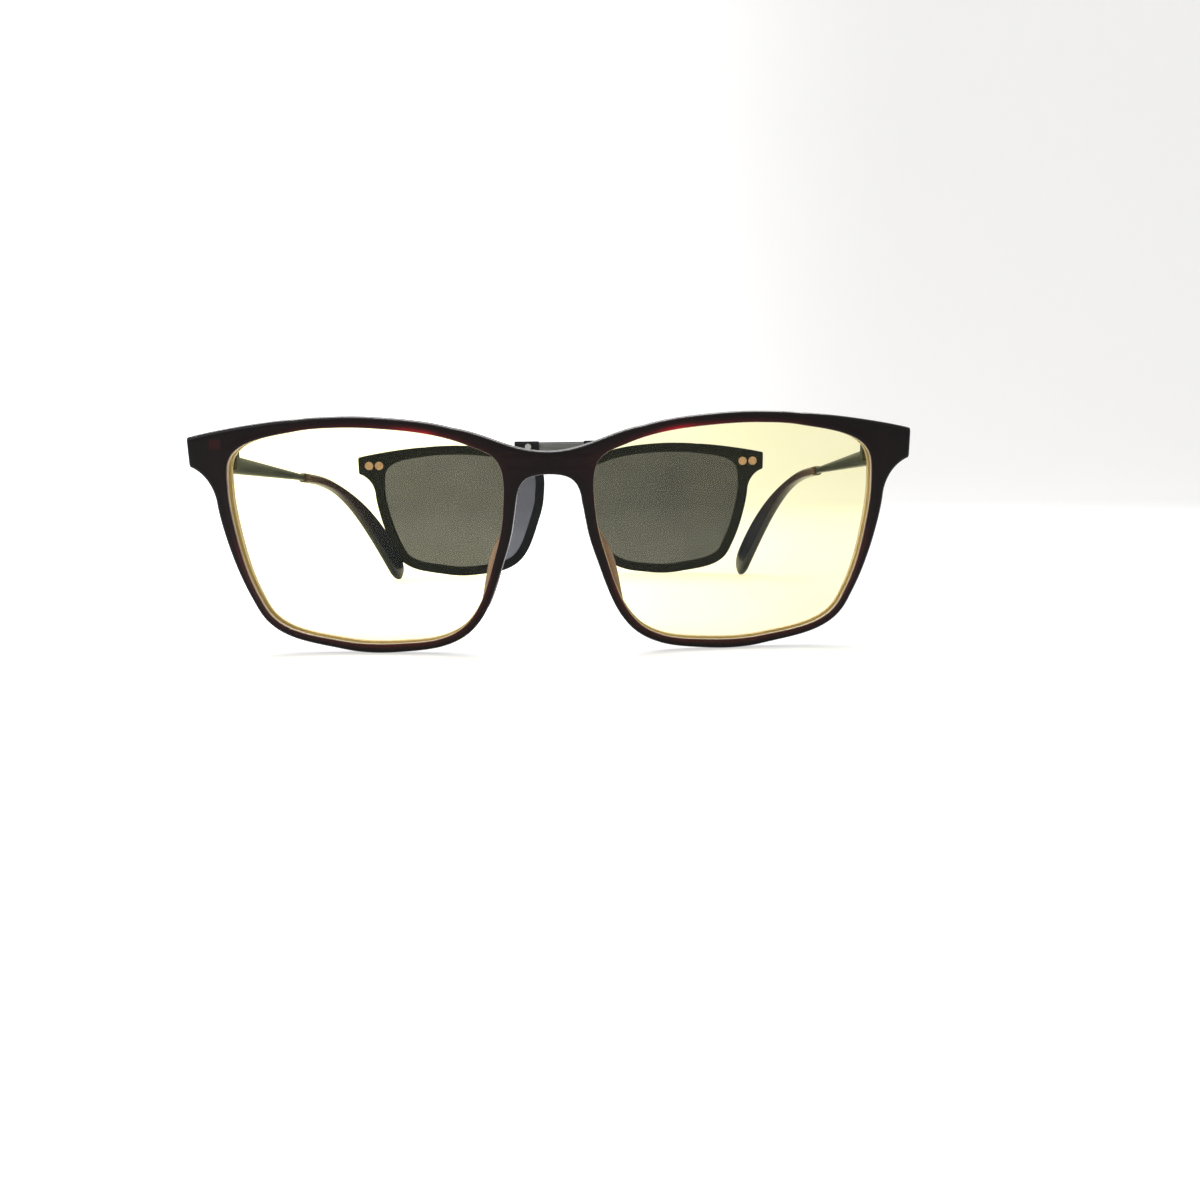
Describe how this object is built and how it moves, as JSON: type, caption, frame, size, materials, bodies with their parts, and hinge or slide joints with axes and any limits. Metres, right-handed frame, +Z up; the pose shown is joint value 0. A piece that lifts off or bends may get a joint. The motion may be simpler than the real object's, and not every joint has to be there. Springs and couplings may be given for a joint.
{
  "type": "magnetic clip-on sunglasses",
  "caption": "Full-rim spectacles with folding temples and a matching dark sun clip that attaches by magnets, shown taken off.",
  "frame": {"origin": "on the surface that the part stands on, under the middle of its bounding box", "axes": "+Z up, +Y from the spectacle front towards the temple ends, +X to the right as seen from the front"},
  "size_m": [0.143, 0.1535, 0.047],
  "materials": {
    "front_plastic": "glossy dark burgundy, slightly translucent",
    "clear_lens": "clear, faintly yellow",
    "steel": "satin gunmetal",
    "magnet": "copper-plated",
    "tip_plastic": "glossy dark",
    "clip_plastic": "satin black",
    "dark_lens": "neutral dark grey"
  },
  "bodies": {
    "spectacle_front": {"front_frame": "front_plastic", "left_lens": "clear_lens", "right_lens": "clear_lens", "left_frame_magnet": "magnet", "right_frame_magnet": "magnet", "left_front_hinge": "steel", "right_front_hinge": "steel", "left_hinge_screw": "steel", "right_hinge_screw": "steel"},
    "left_temple_arm": {"left_temple": "steel", "left_temple_hinge": "steel", "left_temple_tip": "tip_plastic"},
    "right_temple_arm": {"right_temple": "steel", "right_temple_hinge": "steel", "right_temple_tip": "tip_plastic"},
    "sun_clip": {"clip_left_rim": "clip_plastic", "clip_right_rim": "clip_plastic", "clip_bridge_bar": "steel", "clip_left_lens": "dark_lens", "clip_right_lens": "dark_lens", "clip_left_magnets": "magnet", "clip_right_magnets": "magnet", "clip_left_screw": "steel", "clip_right_screw": "steel"}
  },
  "joints": [
    {"name": "left_temple_fold", "type": "hinge", "parent": "spectacle_front", "child": "left_temple_arm", "pos_m": [-0.06545, -0.06353, 0.03874], "axis": [0, 0, -1], "range_deg": [0, 80]},
    {"name": "right_temple_fold", "type": "hinge", "parent": "spectacle_front", "child": "right_temple_arm", "pos_m": [0.06655, -0.06353, 0.03874], "axis": [0, 0, 1], "range_deg": [0, 85]},
    {"name": "clip_lift", "type": "slide", "parent": "spectacle_front", "child": "sun_clip", "axis": [0, 0, 1], "range_m": [0, 0.06]}
  ]
}
